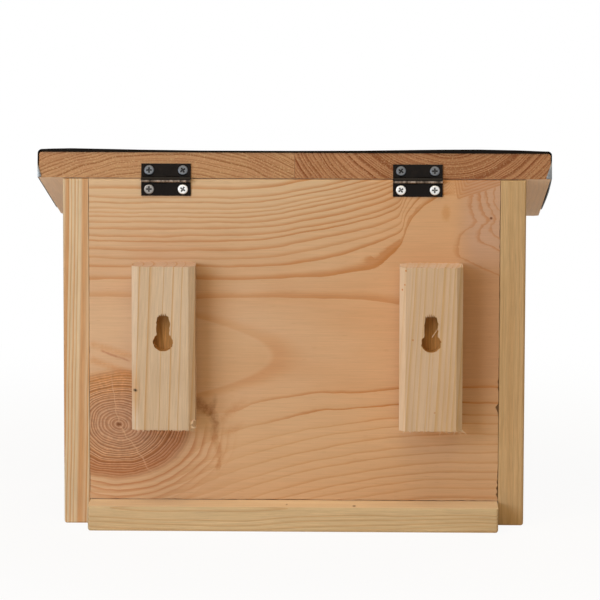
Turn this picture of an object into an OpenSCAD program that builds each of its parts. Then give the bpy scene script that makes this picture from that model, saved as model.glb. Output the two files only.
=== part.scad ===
// Wall-hung squirrel feeder: a wooden box with a clear front pane and a hinged roof.
// The front faces -Y, the wall is on the +Y side and the floor's underside is at Z = 0.
// Left and right are as seen from the front, so the left pieces are at -X.

/* [Box] */
// Width across the outer faces of the two side panels
box_w = 280; // [230:1:360]
// Depth of the side panels, from back edge to front edge
box_d = 145; // [125:1:155]
// Height of the box at its back edge
back_h = 212; // [195:1:280]
// Thickness of the side panels
side_t = 15.5; // [12:0.5:20]
// Thickness of the back panel
back_t = 15; // [12:0.5:20]
// Thickness of the floor board
floor_t = 15; // [12:0.5:20]
// Open joint round the back panel and at the ends of the floor board
joint_gap = 0.5; // [0.2:0.1:0.8]
// Radius of the eased edges of the boards
arris_r = 1.5; // [1.2:0.1:2.5]
// Radius of the boards' free corners
corner_r = 2; // [1.2:0.1:3.5]

/* [Platform] */
// Length of floor in front of the box, where the squirrel sits
platform_d = 75; // [60:1:140]

/* [Front pane] */
// Thickness of the clear pane
pane_t = 3; // [2:0.5:5]
// Depth of the pane's grooves in the side panels
groove_d = 6; // [4:0.5:8]
// Play of the pane in its grooves
pane_play = 0.2; // [0.1:0.05:0.4]
// Distance of the pane behind the front edges of the side panels
pane_inset = 12; // [8:1:25]
// Height of the open slot between the pane and the roof
feed_gap = 20; // [10:1:35]
// Radius of the pane's upper corners
pane_corner_r = 3; // [1:0.5:5]

/* [Roof] */
// Fall of the roof towards the front, in degrees
roof_pitch = 13.5; // [8:0.5:18]
// Length of the roof boards down the slope
roof_l = 175; // [165:1:200]
// Thickness of the roof boards
roof_t = 15.5; // [13:0.5:20]
// Radius of the roof boards' front corners
board_corner_r = 3.5; // [1:0.5:5]
// Overhang of the roof boards past each side panel
side_overhang = 14.5; // [8:0.5:40]
// Glue line between the two roof boards
glue_line = 0.1; // [0.05:0.05:0.3]
// Gap between the closed roof and the top of the box
seat_gap = 0.2; // [0.1:0.05:0.4]

/* [Roof sheet] */
// Thickness of the sheet metal
sheet_t = 0.7; // [0.5:0.1:1]
// Play between the sheet and the roof boards
sheet_play = 0.1; // [0.05:0.05:0.3]
// Outer radius of the folds along the roof's sides
fold_r = 2.5; // [1.8:0.1:4]
// Depth by which the flanges hang below the roof boards
flange_drop = 0; // [0:0.1:3]
// Length left open in each side flange at the front corners
corner_notch = 27; // [8:1:35]
// Length left open in the front flange at its two ends
front_notch = 10; // [5:1:20]
// Width of the tabs folded onto the back edge of the roof boards
tab_w = 3; // [2:0.5:8]
// Height of these tabs above the underside of the roof boards
tab_h = 11.5; // [6:0.5:12]

/* [Hinges] */
// Length of a hinge along its pin
hinge_l = 30; // [25:1:50]
// Reach of each leaf from the pin's axis
leaf_h = 10; // [9:0.5:12]
// Thickness of the leaves
leaf_t = 0.9; // [0.6:0.1:1.2]
// Number of knuckles along a pin
knuckles = 4; // [3:1:6]
// Diameter of the pin
pin_d = 2; // [1.6:0.1:2.5]
// Running play of the pin in the knuckles
pin_play = 0.05; // [0.03:0.01:0.08]
// Gap between neighbouring knuckles
knuckle_gap = 0.2; // [0.1:0.05:0.4]
// Clearance between the knuckles and the wood
barrel_clear = 0.45; // [0.4:0.05:0.8]
// Depth of the pin's axis below the top edge of the box
pin_drop = 0.7; // [0.4:0.1:0.9]
// Distance between the middles of the two hinges
hinge_spacing = 152; // [90:1:190]
// Offset of the pair of hinges from the middle of the box
hinge_offset = 1.5; // [-5:0.1:5]

/* [Hanger blocks] */
// Width of a block
block_w = 38; // [30:1:50]
// Height of a block
block_h = 99; // [90:1:120]
// Thickness of a block, which is also the reach of the floor behind the box
block_t = 25; // [23:0.5:35]
// Height of the blocks' feet above the underside of the floor
block_foot = 62; // [40:1:75]
// Distance between the middles of the two blocks
block_spacing = 161; // [90:1:180]
// Offset of the pair of blocks from the middle of the box
block_offset = -2.3; // [-5:0.1:5]
// Radius of the blocks' long edges
block_arris_r = 3.2; // [1:0.1:5]
// Diameter of the keyhole's round entry
keyhole_d = 11; // [10:0.5:14]
// Height of the round entry's middle above the block's foot
keyhole_up = 53.5; // [40:0.5:56]
// Width of the keyhole's slot
slot_w = 7.5; // [5:0.5:7.5]
// Rise of the slot's end above the round entry
slot_rise = 13; // [8:0.5:14]
// Thickness of the lip that the hanging screw's head hooks behind
lip_t = 5; // [3:0.5:7]
// Depth of the whole keyhole
keyhole_depth = 12; // [9:0.5:16]

/* [Hinge screws] */
// Diameter of the shank
hinge_screw_d = 3; // [2:0.1:3.5]
// Length below the head
hinge_screw_l = 12; // [8:0.5:13]
// Diameter of the head
hinge_screw_head_d = 6.2; // [4.5:0.1:6.6]
// Height of the head
hinge_screw_head_h = 1.6; // [1:0.1:2]
// Rounding of the head's rim
hinge_screw_rim_r = 0.8; // [0.3:0.1:0.9]
// Distance between the two screws of a leaf
hinge_screw_spacing = 20.4; // [14:0.1:22]
// Distance of the screws from the pin's axis
hinge_screw_reach = 5.8; // [5.4:0.1:6.5]

/* [Board screws] */
// Diameter of the shank
board_screw_d = 4; // [3:0.1:5]
// Diameter of the countersunk head
board_screw_head_d = 8; // [6:0.1:9]
// Length of the screws through the side panels
side_screw_l = 40; // [30:1:50]
// Length of the screws through the back panel into the hanger blocks
hanger_screw_l = 32; // [25:1:34]
// Height of the lower screw into each end of the back panel
back_screw_low = 55; // [45:1:80]
// Height of the upper screw into each end of the back panel
back_screw_high = 165; // [140:1:180]
// Distance of the floor's screws from the back and front edges of the side panels
floor_screw_inset = 30; // [22:1:50]
// Distance of the hanger screws from the ends of a block
hanger_screw_inset = 16; // [10:1:20]
// Width of the cross recess in every screw head
recess_w = 0.9; // [0.6:0.1:1]
// Span of the cross recess
recess_span = 3.4; // [2.5:0.1:3.8]
// Depth of the cross recess
recess_depth = 1.1; // [0.6:0.1:1.5]
// Play of every fastener in its hole
hole_play = 0.05; // [0.03:0.01:0.1]

/* [Roof nails] */
// Diameter of the shank
nail_d = 1.6; // [1.2:0.1:2]
// Length below the head
nail_l = 14; // [10:1:18]
// Diameter of the flat head
nail_head_d = 4.5; // [3.5:0.1:5.5]
// Thickness of the flat head
nail_head_t = 0.8; // [0.5:0.1:1.2]
// Distance of the nails from the back edge and from the notch in a side flange
side_nail_inset = 25; // [15:1:40]
// Distance of the front nails from the outer edges of the roof
front_nail_inset = 60; // [20:1:80]

/* [Hidden] */
$fn = 48;
arc_steps = 6;
cut_over = 1;

inner_w = box_w - 2 * side_t;
back_y = (box_d + platform_d - block_t) / 2;
front_y = back_y - box_d;
wall_y = back_y + block_t;
platform_y = front_y - platform_d;
panel_w = inner_w - 2 * joint_gap;
panel_foot = floor_t + joint_gap;
panel_mid_y = back_y - back_t / 2;
panel_inner_y = back_y - back_t;

pane_y = front_y + pane_inset;
pane_w = inner_w + 2 * (groove_d - pane_play);
pane_top = seat_z(pane_y) - feed_gap;

barrel_r = pin_d / 2 + pin_play + leaf_t;
pin_stand = barrel_r + barrel_clear;
pin_y = back_y + pin_stand;
pin_z = back_h - pin_drop;
knuckle_pitch = hinge_l / knuckles;

// The roof is set forward just far enough for its back edge to stand off the pin like the back panel does
roof_setback = cos(roof_pitch) * pin_stand * (1 - cos(roof_pitch))
    + sin(roof_pitch) * (pin_drop * cos(roof_pitch) + seat_gap);
roof_y = back_y - roof_setback;
roof_z = seat_z(roof_y) + seat_gap / cos(roof_pitch);
roof_pin_z = (pin_z - roof_z) * cos(roof_pitch) - (pin_y - roof_y) * sin(roof_pitch);
roof_half = box_w / 2 + side_overhang;
sheet_inner = roof_half + sheet_play;
sheet_outer = sheet_inner + sheet_t;
sheet_under = roof_t + sheet_play;
sheet_top = sheet_under + sheet_t;
sheet_front = roof_l + sheet_play + sheet_t;
board_fold_r = fold_r - sheet_t - sheet_play;

side_screw_points = [
    [panel_mid_y, back_screw_low],
    [panel_mid_y, back_screw_high],
    [back_y - floor_screw_inset, floor_t / 2],
    [front_y + floor_screw_inset, floor_t / 2]
];
hanger_screw_heights = [
    block_foot + hanger_screw_inset,
    block_foot + block_h - hanger_screw_inset
];
side_nail_places = [side_nail_inset, roof_l - corner_notch - side_nail_inset];

wood_orange = "#c8a077";
wood_pink = "#c2956e";
wood_pale = "#c3a584";
wood_brown = "#a97a54";
sheet_black = "#1d1816";
hinge_black = "#221c19";
screw_grey = "#9a948c";
pane_clear = [0.85, 0.92, 0.93, 0.35];

// Height of the box's sloping top at a distance along Y
function seat_z(y) = back_h - (back_y - y) * tan(roof_pitch);

// Middles of the hinges and of the hanger blocks; side is -1 on the left and 1 on the right
function hinge_x(side) = hinge_offset + side * hinge_spacing / 2;
function block_x(side) = block_offset + side * block_spacing / 2;

// Turn of a hinge screw's cross, which differs from screw to screw
function cross_turn(side, s) = 45 + 28 * side + 17 * s;

// Points of an arc of radius r that rounds a corner between its two neighbours
function corner_arc(before, corner, after, r) =
    let (
        u = (before - corner) / norm(before - corner),
        v = (after - corner) / norm(after - corner),
        half = acos(u * v) / 2,
        middle = corner + (u + v) / norm(u + v) * r / sin(half),
        start = corner + u * r / tan(half) - middle,
        turn = (cross(-u, v) > 0 ? 1 : -1) * (180 - 2 * half) / arc_steps,
        first = atan2(start.y, start.x)
    )
    [for (i = [0:arc_steps]) middle + r * [cos(first + i * turn), sin(first + i * turn)]];

// An outline with each corner rounded to its own radius, or left sharp at radius 0
function rounded(points, radii) =
    let (n = len(points))
    [for (i = [0:n - 1])
        each radii[i] > 0
            ? corner_arc(points[(i + n - 1) % n], points[i], points[(i + 1) % n], radii[i])
            : [points[i]]];

// Extrudes a Y-Z outline along X
module along_x(start, length) {
    translate([start, 0, 0])
        rotate([90, 0, 90])
            linear_extrude(height = length)
                children();
}

// Extrudes an X-Z outline along Y, from start towards the front
module along_y(start, length) {
    translate([0, start, 0])
        rotate([90, 0, 0])
            linear_extrude(height = length)
                children();
}

// Extrudes an X-Y outline upwards
module upright(start, height) {
    translate([0, 0, start])
        linear_extrude(height = height)
            children();
}

// The roof's own frame: origin on the lower back edge, -Y down the slope, +Z square to the boards
module on_roof() {
    translate([0, roof_y, roof_z])
        rotate([roof_pitch, 0, 0])
            children();
}

// Cross recess cut into a screw head whose top is at Z = 0
module cross_recess() {
    for (turn = [0, 90])
        rotate([0, 0, turn])
            translate([-recess_span / 2, -recess_w / 2, -recess_depth])
                cube([recess_span, recess_w, recess_depth + cut_over]);
}

// Half section of a countersunk screw, its head flush with Z = 0 and its point down
module countersunk_section(length, play) {
    head_r = board_screw_head_d / 2 + play;
    shank_r = board_screw_d / 2 + play;
    polygon([
        [0, 0],
        [head_r, 0],
        [shank_r, shank_r - head_r],
        [shank_r, board_screw_d - length],
        [0, -length - play]
    ]);
}

module countersunk_screw(length) {
    difference() {
        rotate_extrude() countersunk_section(length, 0);
        cross_recess();
    }
}

module countersunk_hole(length) {
    rotate_extrude() countersunk_section(length, hole_play);
    cylinder(d = board_screw_head_d + 2 * hole_play, h = cut_over);
}

// Half section of a hinge screw, its head standing on Z = 0 and its point down
module hinge_screw() {
    difference() {
        rotate_extrude()
            polygon(rounded(
                [
                    [0, -hinge_screw_l],
                    [hinge_screw_d / 2, hinge_screw_d - hinge_screw_l],
                    [hinge_screw_d / 2, 0],
                    [hinge_screw_head_d / 2, 0],
                    [hinge_screw_head_d / 2, hinge_screw_head_h],
                    [0, hinge_screw_head_h]
                ],
                [0, 0, 0, 0, hinge_screw_rim_r, 0]
            ));
        translate([0, 0, hinge_screw_head_h]) cross_recess();
    }
}

module hinge_screw_hole() {
    translate([0, 0, -hinge_screw_l - hole_play])
        cylinder(d = hinge_screw_d + 2 * hole_play, h = hinge_screw_l + cut_over);
}

// Flat-headed nail, its head standing on Z = 0 and its point down
module nail() {
    cylinder(d = nail_head_d, h = nail_head_t);
    translate([0, 0, -nail_l]) cylinder(d = nail_d, h = nail_l);
}

module nail_hole() {
    translate([0, 0, -nail_l - hole_play])
        cylinder(d = nail_d + 2 * hole_play, h = nail_l + cut_over);
}

// Places of the screws that run through the right side panel, heads outwards
module at_side_screws() {
    for (p = side_screw_points)
        translate([box_w / 2, p.x, p.y])
            rotate([0, 90, 0])
                children();
}

// Places of the screws that run from inside the box into one hanger block
module at_hanger_screws(side) {
    for (z = hanger_screw_heights)
        translate([block_x(side), panel_inner_y, z])
            rotate([90, 0, 0])
                children();
}

// Places of the screws in a hinge's lower leaf
module at_box_leaf_screws(side) {
    for (s = [-1, 1])
        translate([
            hinge_x(side) + s * hinge_screw_spacing / 2, back_y + leaf_t, pin_z - hinge_screw_reach
        ])
            rotate([-90, 0, 0])
                rotate([0, 0, cross_turn(side, s)])
                    children();
}

// Places of the screws in a hinge's upper leaf, in the roof's own frame
module at_roof_leaf_screws(side) {
    for (s = [-1, 1])
        translate([
            hinge_x(side) + s * hinge_screw_spacing / 2, leaf_t, roof_pin_z + hinge_screw_reach
        ])
            rotate([-90, 0, 0])
                rotate([0, 0, cross_turn(s, side)])
                    children();
}

// Places of the nails in the right half of the sheet, in the roof's own frame
module at_nails() {
    for (y = side_nail_places)
        translate([sheet_outer, -y, roof_t / 2])
            rotate([0, 90, 0])
                children();
    translate([roof_half - front_nail_inset, -sheet_front, roof_t / 2])
        rotate([90, 0, 0])
            children();
}

// Side panel at +X: sloping top, stopped groove for the pane and countersunk screw holes
module side_panel() {
    difference() {
        intersection() {
            along_x(inner_w / 2, side_t)
                polygon(rounded(
                    [[back_y, 0], [back_y, back_h], [front_y, seat_z(front_y)], [front_y, 0]],
                    [arris_r, arris_r, arris_r, arris_r]
                ));
            upright(-cut_over, back_h + 2 * cut_over)
                polygon(rounded(
                    [
                        [inner_w / 2, back_y],
                        [inner_w / 2, front_y],
                        [box_w / 2, front_y],
                        [box_w / 2, back_y]
                    ],
                    [0, arris_r, arris_r, arris_r]
                ));
            along_y(back_y + cut_over, box_d + 2 * cut_over)
                polygon(rounded(
                    [
                        [inner_w / 2, 0],
                        [box_w / 2, 0],
                        [box_w / 2, back_h + cut_over],
                        [inner_w / 2, back_h + cut_over]
                    ],
                    [0, corner_r, 0, 0]
                ));
        }
        translate([inner_w / 2 - cut_over, pane_y - pane_play, floor_t])
            cube([groove_d + cut_over, pane_t + 2 * pane_play, back_h]);
        at_side_screws() countersunk_hole(side_screw_l);
    }
}

module left_side() {
    color(wood_orange) mirror([1, 0, 0]) side_panel();
}

module right_side() {
    color(wood_orange) side_panel();
}

// Back panel between the sides, its top edge cut to the roof's slope
module back_panel() {
    color(wood_pink)
        difference() {
            along_x(-panel_w / 2, panel_w)
                polygon(rounded(
                    [
                        [back_y, panel_foot],
                        [back_y, back_h],
                        [panel_inner_y, seat_z(panel_inner_y)],
                        [panel_inner_y, panel_foot]
                    ],
                    [0, arris_r, 0, 0]
                ));
            for (side = [0, 1]) mirror([side, 0, 0]) at_side_screws() countersunk_hole(side_screw_l);
            for (side = [-1, 1]) {
                at_hanger_screws(side) countersunk_hole(hanger_screw_l);
                at_box_leaf_screws(side) hinge_screw_hole();
            }
        }
}

// Floor board: reaches back to the wall and forward as the platform
module floor_board() {
    color(wood_pale)
        difference() {
            intersection() {
                along_x(-panel_w / 2, panel_w)
                    polygon(rounded(
                        [[wall_y, 0], [wall_y, floor_t], [platform_y, floor_t], [platform_y, 0]],
                        [arris_r, arris_r, arris_r, arris_r]
                    ));
                upright(0, floor_t)
                    polygon(rounded(
                        [
                            [-panel_w / 2, platform_y],
                            [panel_w / 2, platform_y],
                            [panel_w / 2, wall_y],
                            [-panel_w / 2, wall_y]
                        ],
                        [corner_r, corner_r, arris_r, arris_r]
                    ));
                along_y(wall_y + cut_over, wall_y - platform_y + 2 * cut_over)
                    polygon(rounded(
                        [
                            [-panel_w / 2, 0],
                            [panel_w / 2, 0],
                            [panel_w / 2, floor_t],
                            [-panel_w / 2, floor_t]
                        ],
                        [corner_r, corner_r, 0, 0]
                    ));
            }
            for (side = [0, 1]) mirror([side, 0, 0]) at_side_screws() countersunk_hole(side_screw_l);
        }
}

// Clear pane, standing on the floor in the grooves of the side panels
module front_pane() {
    color(pane_clear)
        along_y(pane_y + pane_t, pane_t)
            polygon(rounded(
                [
                    [-pane_w / 2, floor_t],
                    [pane_w / 2, floor_t],
                    [pane_w / 2, pane_top],
                    [-pane_w / 2, pane_top]
                ],
                [0, 0, pane_corner_r, pane_corner_r]
            ));
}

module left_side_screws() {
    color(screw_grey) mirror([1, 0, 0]) at_side_screws() countersunk_screw(side_screw_l);
}

module right_side_screws() {
    color(screw_grey) at_side_screws() countersunk_screw(side_screw_l);
}

// Outline of a keyhole: a round entry with a slot of the given width rising from it
module keyhole_outline(width) {
    circle(d = keyhole_d);
    translate([-width / 2, 0]) square([width, slot_rise]);
    translate([0, slot_rise]) circle(d = width);
}

// Keyhole cut into the wall side of a block: the slot is narrow at the lip and wider behind it
module keyhole() {
    along_y(cut_over, keyhole_depth + cut_over) circle(d = keyhole_d);
    along_y(cut_over, lip_t + cut_over) keyhole_outline(slot_w);
    along_y(-lip_t, keyhole_depth - lip_t) keyhole_outline(keyhole_d);
}

module hanger_block(side) {
    color(wood_pale)
        difference() {
            translate([block_x(side), back_y, block_foot])
                linear_extrude(height = block_h)
                    polygon(rounded(
                        [
                            [-block_w / 2, 0],
                            [block_w / 2, 0],
                            [block_w / 2, block_t],
                            [-block_w / 2, block_t]
                        ],
                        [block_arris_r, block_arris_r, block_arris_r, block_arris_r]
                    ));
            translate([block_x(side), wall_y, block_foot + keyhole_up]) keyhole();
            at_hanger_screws(side) countersunk_hole(hanger_screw_l);
        }
}

module left_hanger_block() {
    hanger_block(-1);
}

module right_hanger_block() {
    hanger_block(1);
}

module left_hanger_screws() {
    color(screw_grey) at_hanger_screws(-1) countersunk_screw(hanger_screw_l);
}

module right_hanger_screws() {
    color(screw_grey) at_hanger_screws(1) countersunk_screw(hanger_screw_l);
}

// Roof board at +X, its outer top edge rounded under the sheet's fold and its front corner rounded
module roof_board(side) {
    difference() {
        intersection() {
            along_y(0, roof_l)
                polygon(rounded(
                    [[glue_line / 2, 0], [roof_half, 0], [roof_half, roof_t], [glue_line / 2, roof_t]],
                    [0, 0, board_fold_r, 0]
                ));
            upright(0, roof_t)
                polygon(rounded(
                    [[glue_line / 2, -roof_l], [roof_half, -roof_l], [roof_half, 0], [glue_line / 2, 0]],
                    [0, board_corner_r, 0, 0]
                ));
        }
        mirror([side < 0 ? 1 : 0, 0, 0]) at_roof_leaf_screws(side) hinge_screw_hole();
        at_nails() nail_hole();
    }
}

module left_roof_board() {
    color(wood_brown) on_roof() mirror([1, 0, 0]) roof_board(-1);
}

module right_roof_board() {
    color(wood_brown) on_roof() roof_board(1);
}

// Tab of the sheet folded round the lower back corner at +X
module sheet_tab() {
    along_y(sheet_t, sheet_t)
        polygon([
            [sheet_outer - tab_w, -flange_drop], [sheet_outer, -flange_drop], [sheet_outer, tab_h]
        ]);
}

// Sheet-metal cover: a shallow pan open at the back, with its flanges notched at the front corners
module roof_sheet() {
    color(sheet_black)
        on_roof() {
            difference() {
                along_y(0, sheet_front)
                    polygon(rounded(
                        [
                            [-sheet_outer, -flange_drop],
                            [sheet_outer, -flange_drop],
                            [sheet_outer, sheet_top],
                            [-sheet_outer, sheet_top]
                        ],
                        [0, 0, fold_r, fold_r]
                    ));
                along_y(cut_over, sheet_front - sheet_t + cut_over)
                    polygon(rounded(
                        [
                            [-sheet_inner, -flange_drop - cut_over],
                            [sheet_inner, -flange_drop - cut_over],
                            [sheet_inner, sheet_under],
                            [-sheet_inner, sheet_under]
                        ],
                        [0, 0, fold_r - sheet_t, fold_r - sheet_t]
                    ));
                for (side = [0, 1])
                    mirror([side, 0, 0]) {
                        translate([roof_half, sheet_t - sheet_front, -flange_drop - cut_over])
                            cube([
                                sheet_outer,
                                corner_notch,
                                roof_t - fold_r + flange_drop + cut_over
                            ]);
                        translate([
                            roof_half - front_notch, -sheet_front - cut_over, -flange_drop - cut_over
                        ])
                            cube([
                                sheet_outer,
                                sheet_t + 2 * cut_over,
                                roof_t - fold_r + flange_drop + cut_over
                            ]);
                        at_nails() nail_hole();
                    }
            }
            for (side = [0, 1]) mirror([side, 0, 0]) sheet_tab();
        }
}

module roof_nails() {
    color(sheet_black) on_roof() for (side = [0, 1]) mirror([side, 0, 0]) at_nails() nail();
}

// Stretch of the barrel that belongs to one knuckle, longer by grow at each end
module knuckle_stretch(i, radius, grow) {
    translate([i * knuckle_pitch - hinge_l / 2 - grow, 0, 0])
        rotate([0, 90, 0])
            cylinder(r = radius, h = knuckle_pitch + 2 * grow);
}

// Hinge leaf rising from the pin's axis, rolled into every second knuckle from the first one given
module hinge_leaf(first) {
    color(hinge_black)
        difference() {
            union() {
                translate([-hinge_l / 2, -pin_stand, 0]) cube([hinge_l, leaf_t, leaf_h]);
                for (i = [first:2:knuckles - 1]) knuckle_stretch(i, barrel_r, -knuckle_gap / 2);
            }
            for (i = [1 - first:2:knuckles - 1])
                knuckle_stretch(i, pin_stand + barrel_clear, knuckle_gap / 2);
            knuckle_stretch(0, pin_d / 2 + pin_play, hinge_l);
            for (s = [-1, 1])
                translate([s * hinge_screw_spacing / 2, 0, hinge_screw_reach])
                    rotate([90, 0, 0])
                        cylinder(d = hinge_screw_d + 2 * hole_play, h = pin_stand + cut_over);
        }
}

// Lower leaf, on the back panel
module box_leaf(side) {
    translate([hinge_x(side), pin_y, pin_z]) mirror([0, 0, 1]) hinge_leaf(1);
}

// Upper leaf, on the back edge of the roof
module roof_leaf(side) {
    on_roof() translate([hinge_x(side), pin_stand, roof_pin_z]) hinge_leaf(0);
}

module hinge_pin(side) {
    color(hinge_black)
        translate([hinge_x(side) - hinge_l / 2, pin_y, pin_z])
            rotate([0, 90, 0])
                cylinder(d = pin_d, h = hinge_l);
}

module left_hinge_box_leaf() {
    box_leaf(-1);
}

module right_hinge_box_leaf() {
    box_leaf(1);
}

module left_hinge_roof_leaf() {
    roof_leaf(-1);
}

module right_hinge_roof_leaf() {
    roof_leaf(1);
}

module left_hinge_pin() {
    hinge_pin(-1);
}

module right_hinge_pin() {
    hinge_pin(1);
}

module left_hinge_box_screws() {
    color(screw_grey) at_box_leaf_screws(-1) hinge_screw();
}

module right_hinge_box_screws() {
    color(screw_grey) at_box_leaf_screws(1) hinge_screw();
}

module left_hinge_roof_screws() {
    color(screw_grey) on_roof() at_roof_leaf_screws(-1) hinge_screw();
}

module right_hinge_roof_screws() {
    color(screw_grey) on_roof() at_roof_leaf_screws(1) hinge_screw();
}

left_side();
right_side();
back_panel();
floor_board();
front_pane();
left_side_screws();
right_side_screws();
left_hanger_block();
right_hanger_block();
left_hanger_screws();
right_hanger_screws();
left_roof_board();
right_roof_board();
roof_sheet();
roof_nails();
left_hinge_box_leaf();
left_hinge_roof_leaf();
left_hinge_pin();
left_hinge_box_screws();
left_hinge_roof_screws();
right_hinge_box_leaf();
right_hinge_roof_leaf();
right_hinge_pin();
right_hinge_box_screws();
right_hinge_roof_screws();
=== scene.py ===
# %% [markdown]
# # A wooden squirrel feeder, seen from behind
# The part comes in as a imported model whose nodes sit at their real places, in metres. The boards keep those
# shapes and get their looks here, and the few pieces that a saw, a drill or a hand left uneven are modelled
# anew over them. First the model is loaded and its box is kept.

# %% Load the imported model
import math
from functools import partial

import bpy
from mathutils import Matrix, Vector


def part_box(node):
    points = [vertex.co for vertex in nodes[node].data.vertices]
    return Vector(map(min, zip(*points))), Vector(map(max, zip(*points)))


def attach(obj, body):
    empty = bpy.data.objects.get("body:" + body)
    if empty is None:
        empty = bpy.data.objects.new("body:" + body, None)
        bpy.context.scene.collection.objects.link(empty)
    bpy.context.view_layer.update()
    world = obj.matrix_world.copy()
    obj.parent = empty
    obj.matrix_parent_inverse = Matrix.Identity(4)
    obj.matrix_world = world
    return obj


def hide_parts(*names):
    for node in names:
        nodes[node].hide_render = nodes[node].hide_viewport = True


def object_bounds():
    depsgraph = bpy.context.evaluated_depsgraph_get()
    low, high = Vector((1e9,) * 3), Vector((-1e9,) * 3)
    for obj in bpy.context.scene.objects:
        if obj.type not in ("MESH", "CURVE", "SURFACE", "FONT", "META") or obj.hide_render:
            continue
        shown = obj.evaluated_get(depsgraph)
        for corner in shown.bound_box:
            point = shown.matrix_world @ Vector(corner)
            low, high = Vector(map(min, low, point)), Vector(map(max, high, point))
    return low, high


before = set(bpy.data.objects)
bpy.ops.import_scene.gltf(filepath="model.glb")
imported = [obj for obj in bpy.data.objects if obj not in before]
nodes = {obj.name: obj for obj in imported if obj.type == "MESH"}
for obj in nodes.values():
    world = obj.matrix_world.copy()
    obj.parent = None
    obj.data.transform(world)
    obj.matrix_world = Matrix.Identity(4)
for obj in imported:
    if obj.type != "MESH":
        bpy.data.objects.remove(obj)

cad_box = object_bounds()
print("loaded", len(nodes), "nodes, box", [round(v, 4) for corner in cad_box for v in corner])

# %% [markdown]
# # The camera
# The photograph was taken from about two and a half metres behind the feeder with a long lens, a little above
# it. A camera can be placed by eye, but here the corners of the box were measured in the picture and the
# place, tilt and lens that put all of them where they are were worked out, so the values are given.

# %% Place the camera
camera_data = bpy.data.cameras.new("photo_camera")
camera_data.sensor_width = 36
camera_data.lens = 235.99
camera_data.clip_end = 50
camera = bpy.data.objects.new("photo_camera", camera_data)
bpy.context.scene.collection.objects.link(camera)
camera.location = (-0.0480, 2.4591, 0.4499)
camera.rotation_euler = [math.radians(a) for a in (82.481, -0.139, 181.096)]
bpy.context.scene.camera = camera
print("camera at", tuple(round(v, 3) for v in camera.location), "lens", camera_data.lens)

# %% [markdown]
# # Colours and nodes
# Colours are written as they look on a screen, and one function turns them into the linear values that the
# shader works with. One more function adds a node, and a new material comes with that function tied to its
# own tree, under the name add. A node's kind is written without the word ShaderNode that they all begin with.
# Its inputs are a list in their order, or a dictionary by name or number, and each is a number, a colour, a
# socket or another node, which stands for the output that it has in use. Then comes the operation, if the
# node has one, and other settings go by name. So a map range reads: the value, from where to where it goes,
# and what that is turned into. Where ranges overlap, their product says how much of a mark is seen.

# %% Helpers for materials
def linear(hex_colour):
    parts = [int(hex_colour[i:i + 2], 16) / 255 for i in (1, 3, 5)]
    return (*[c / 12.92 if c <= 0.04045 else ((c + 0.055) / 1.055) ** 2.4 for c in parts], 1)


def add_node(tree, kind, inputs=(), operation=None, **settings):
    node = tree.nodes.new("ShaderNode" + kind)
    if operation:
        node.operation = operation
    for name, value in settings.items():
        setattr(node, name, value)
    for socket, value in inputs.items() if isinstance(inputs, dict) else enumerate(inputs):
        if isinstance(value, bpy.types.Node):
            value = next(output for output in value.outputs if output.enabled)
        if isinstance(value, bpy.types.NodeSocket):
            tree.links.new(value, node.inputs[socket])
        else:
            node.inputs[socket].default_value = linear(value) if isinstance(value, str) else value
    return node


def new_material(name):
    material = bpy.data.materials.new(name)
    material.use_nodes = True
    material.node_tree.nodes.clear()
    return material, partial(add_node, material.node_tree)


def overlap(add, *ranges):
    share = None
    for *numbers, kind in ranges:
        part = add("MapRange", numbers, interpolation_type=kind)
        share = add("Math", [share, part], "MULTIPLY") if share else part
    return share


even, soft = "LINEAR", "SMOOTHSTEP"
smooth, rgba = {"interpolation_type": soft}, {"data_type": "RGBA"}
print("white is", linear("#ffffff")[:3])

# %% [markdown]
# # The studio
# The feeder was photographed on white paper. The shadows beside the hanger blocks are about 15 mm long for
# blocks 25 mm thick, cool where they begin and warm inside, so there are two lights: a daylight lamp low at
# the left, and a broad, warmer one overhead. A third lamp lights the front, which the camera doesn't see. The
# paper is white to the camera and to reflections, it throws light up under the roof, and it still takes the
# feeder's shadow.

# %% Floor and world
def seen_directly(add):
    path = add("LightPath")
    seen = add("Math", [path.outputs["Is Camera Ray"], path.outputs["Is Glossy Ray"]], "MAXIMUM")
    return add("Math", [seen, path.outputs["Is Transmission Ray"]], "MAXIMUM")


bpy.ops.mesh.primitive_plane_add(size=12, location=(0, 0, -0.0002))
floor = bpy.context.object
floor.name = "studio_floor"
floor_material, add = new_material("white_paper_floor")
paper = add("BsdfDiffuse", {"Color": (0.95, 0.86, 0.74, 1)})
white = add("Emission", {"Color": (1, 1, 1, 1), "Strength": 1})
place = add("TexCoord")
away = add("VectorMath", [place.outputs["Object"]], "LENGTH")
share = add("MapRange", [away, 0.2, 0.7, 0.93, 1], **smooth)
share = add("Math", [seen_directly(add), share], "MULTIPLY")
both = add("MixShader", [share, paper, white])
add("OutputMaterial", {"Surface": both})
floor.data.materials.append(floor_material)

world = bpy.data.worlds.new("white_studio")
world.use_nodes = True
world.node_tree.nodes.clear()
add = partial(add_node, world.node_tree)
fill = add("Background", {"Color": (1, 0.8, 0.51, 1), "Strength": 0.02})
shown = add("Background", {"Color": (1, 1, 1, 1), "Strength": 1})
both = add("MixShader", [seen_directly(add), fill, shown])
add("OutputWorld", {"Surface": both})
bpy.context.scene.world = world
print("paper floor of", tuple(round(v, 1) for v in floor.dimensions), "m")

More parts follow.
